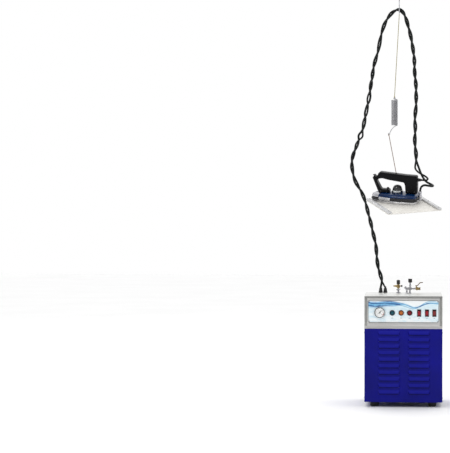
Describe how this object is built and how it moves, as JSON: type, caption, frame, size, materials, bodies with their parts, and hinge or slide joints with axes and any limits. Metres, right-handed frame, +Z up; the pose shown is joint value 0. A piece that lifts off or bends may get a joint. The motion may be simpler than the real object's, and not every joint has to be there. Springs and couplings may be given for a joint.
{
  "type": "steam generator iron",
  "caption": "Floor-standing steam generator with louvred case and control panel, an electric steam iron on its rest, and a hose and cable over an overhead hook.",
  "frame": {"origin": "on the floor under the middle of the generator", "axes": "+Z up, the control panel faces -Y, +X to the right seen from the front"},
  "size_m": [0.3769, 0.3612, 1.66],
  "materials": {
    "blue_paint": "semi-gloss powder coat",
    "stainless": "brushed",
    "boiler_steel": "welded, plain",
    "rubber": "matt",
    "gland_rubber": "matt",
    "hose_rubber": "satin",
    "cable_rubber": "satin",
    "label": "printed film",
    "gauge_white": "white dial",
    "needle_black": "matt",
    "clear_lens": "clear",
    "pilot_green": "translucent",
    "pilot_amber": "translucent",
    "pilot_red": "translucent",
    "switch_black": "moulded",
    "rocker_red": "translucent",
    "black_plastic": "moulded",
    "contactor_grey": "moulded",
    "brass": "machined",
    "chrome": "plated",
    "lever_tan": "worn coat",
    "sole": "polished cast",
    "skirt_black": "heat-resistant",
    "iron_blue": "enamel",
    "bakelite": "bakelite",
    "dial_black": "moulded",
    "rest_pale": "silicone",
    "rail_grey": "satin",
    "spring_steel": "drawn wire",
    "cord_olive": "braided",
    "cord_brown": "braided"
  },
  "bodies": {
    "root": {"base_pan": "blue_paint", "front_panel": "blue_paint", "left_side_panel": "blue_paint", "right_side_panel": "blue_paint", "rear_panel": "blue_paint", "control_head": "stainless", "top_cover": "stainless", "boiler_tank": "boiler_steel", "boiler_cradle": "boiler_steel", "heater_flange": "boiler_steel", "foot_front_left": "rubber", "foot_front_right": "rubber", "foot_rear_left": "rubber", "foot_rear_right": "rubber", "hose_gland": "gland_rubber", "cable_gland": "gland_rubber", "steam_hose": "hose_rubber", "power_cable": "cable_rubber", "control_plate": "label", "gauge_case": "gauge_white", "gauge_lens": "clear_lens", "pilot_light_green": "pilot_green", "pilot_light_amber": "pilot_amber", "pilot_light_red": "pilot_red", "switch_housing_1": "switch_black", "switch_housing_2": "switch_black", "switch_housing_3": "switch_black", "feed_pump": "black_plastic", "mains_gland": "black_plastic", "contactor": "contactor_grey", "water_inlet": "brass", "drain_plug": "brass", "vent_body": "brass", "ball_valve_body": "brass", "vent_nipple": "chrome", "manifold_body": "chrome", "overhead_hook": "chrome", "rest_plate": "rest_pale", "rest_rail_left": "rail_grey", "rest_rail_right": "rail_grey", "suspension_spring": "spring_steel", "upper_cord": "cord_olive", "lower_cord": "cord_brown"},
    "rocker_1": {"rocker_1": "rocker_red"},
    "rocker_2": {"rocker_2": "rocker_red"},
    "rocker_3": {"rocker_3": "rocker_red"},
    "needle": {"gauge_needle": "needle_black"},
    "vent_cap": {"vent_cap": "black_plastic"},
    "vent_side_knob": {"vent_side_knob": "black_plastic"},
    "manifold_knob": {"manifold_knob": "black_plastic"},
    "ball_valve_lever": {"ball_valve_lever": "lever_tan"},
    "iron": {"iron_soleplate": "sole", "iron_skirt": "skirt_black", "iron_cover": "iron_blue", "iron_handle": "bakelite", "thermostat_scale": "chrome", "steam_valve": "chrome", "cable_boot": "gland_rubber"},
    "thermostat_dial": {"thermostat_dial": "dial_black"},
    "steam_button": {"steam_button": "dial_black"}
  },
  "joints": [
    {"name": "rocker_1_tilt", "type": "hinge", "parent": "root", "child": "rocker_1", "pos_m": [0.0624, -0.1698, 0.3764], "axis": [1, 0, 0], "range_deg": [-14, 0]},
    {"name": "rocker_2_tilt", "type": "hinge", "parent": "root", "child": "rocker_2", "pos_m": [0.0936, -0.1698, 0.3764], "axis": [1, 0, 0], "range_deg": [-14, 0]},
    {"name": "rocker_3_tilt", "type": "hinge", "parent": "root", "child": "rocker_3", "pos_m": [0.1228, -0.1698, 0.3764], "axis": [1, 0, 0], "range_deg": [-14, 0]},
    {"name": "needle_turn", "type": "hinge", "parent": "root", "child": "needle", "pos_m": [-0.0944, -0.1751, 0.378], "axis": [0, 1, 0], "range_deg": [-180, 85]},
    {"name": "vent_cap_turn", "type": "hinge", "parent": "root", "child": "vent_cap", "pos_m": [-0.0207, 0.1, 0.4798], "axis": [0, 0, 1], "range_deg": [0, 270]},
    {"name": "vent_side_knob_turn", "type": "hinge", "parent": "root", "child": "vent_side_knob", "pos_m": [-0.0106, 0.1, 0.4725], "axis": [1, 0, 0], "range_deg": [0, 270]},
    {"name": "manifold_knob_turn", "type": "hinge", "parent": "root", "child": "manifold_knob", "pos_m": [0.0276, 0.065, 0.4888], "axis": [0, 0, 1], "range_deg": [0, 270]},
    {"name": "ball_valve_turn", "type": "hinge", "parent": "root", "child": "ball_valve_lever", "pos_m": [0.0527, 0.065, 0.4743], "axis": [0, 0, 1], "range_deg": [0, 90]},
    {"name": "iron_lift", "type": "slide", "parent": "root", "child": "iron", "axis": [0, 0, 1], "range_m": [0, 0.12], "deforming": ["steam_hose", "power_cable", "lower_cord"]},
    {"name": "thermostat_turn", "type": "hinge", "parent": "iron", "child": "thermostat_dial", "pos_m": [-0.02477, 0.03652, 0.86929], "axis": [0, -0.225, 0.9744], "range_deg": [-135, 135]},
    {"name": "steam_button_press", "type": "slide", "parent": "iron", "child": "steam_button", "axis": [0, 0.225, -0.9744], "range_m": [0, 0.0022], "stiffness_N_per_m": 200, "springref_m": -0.002}
  ]
}
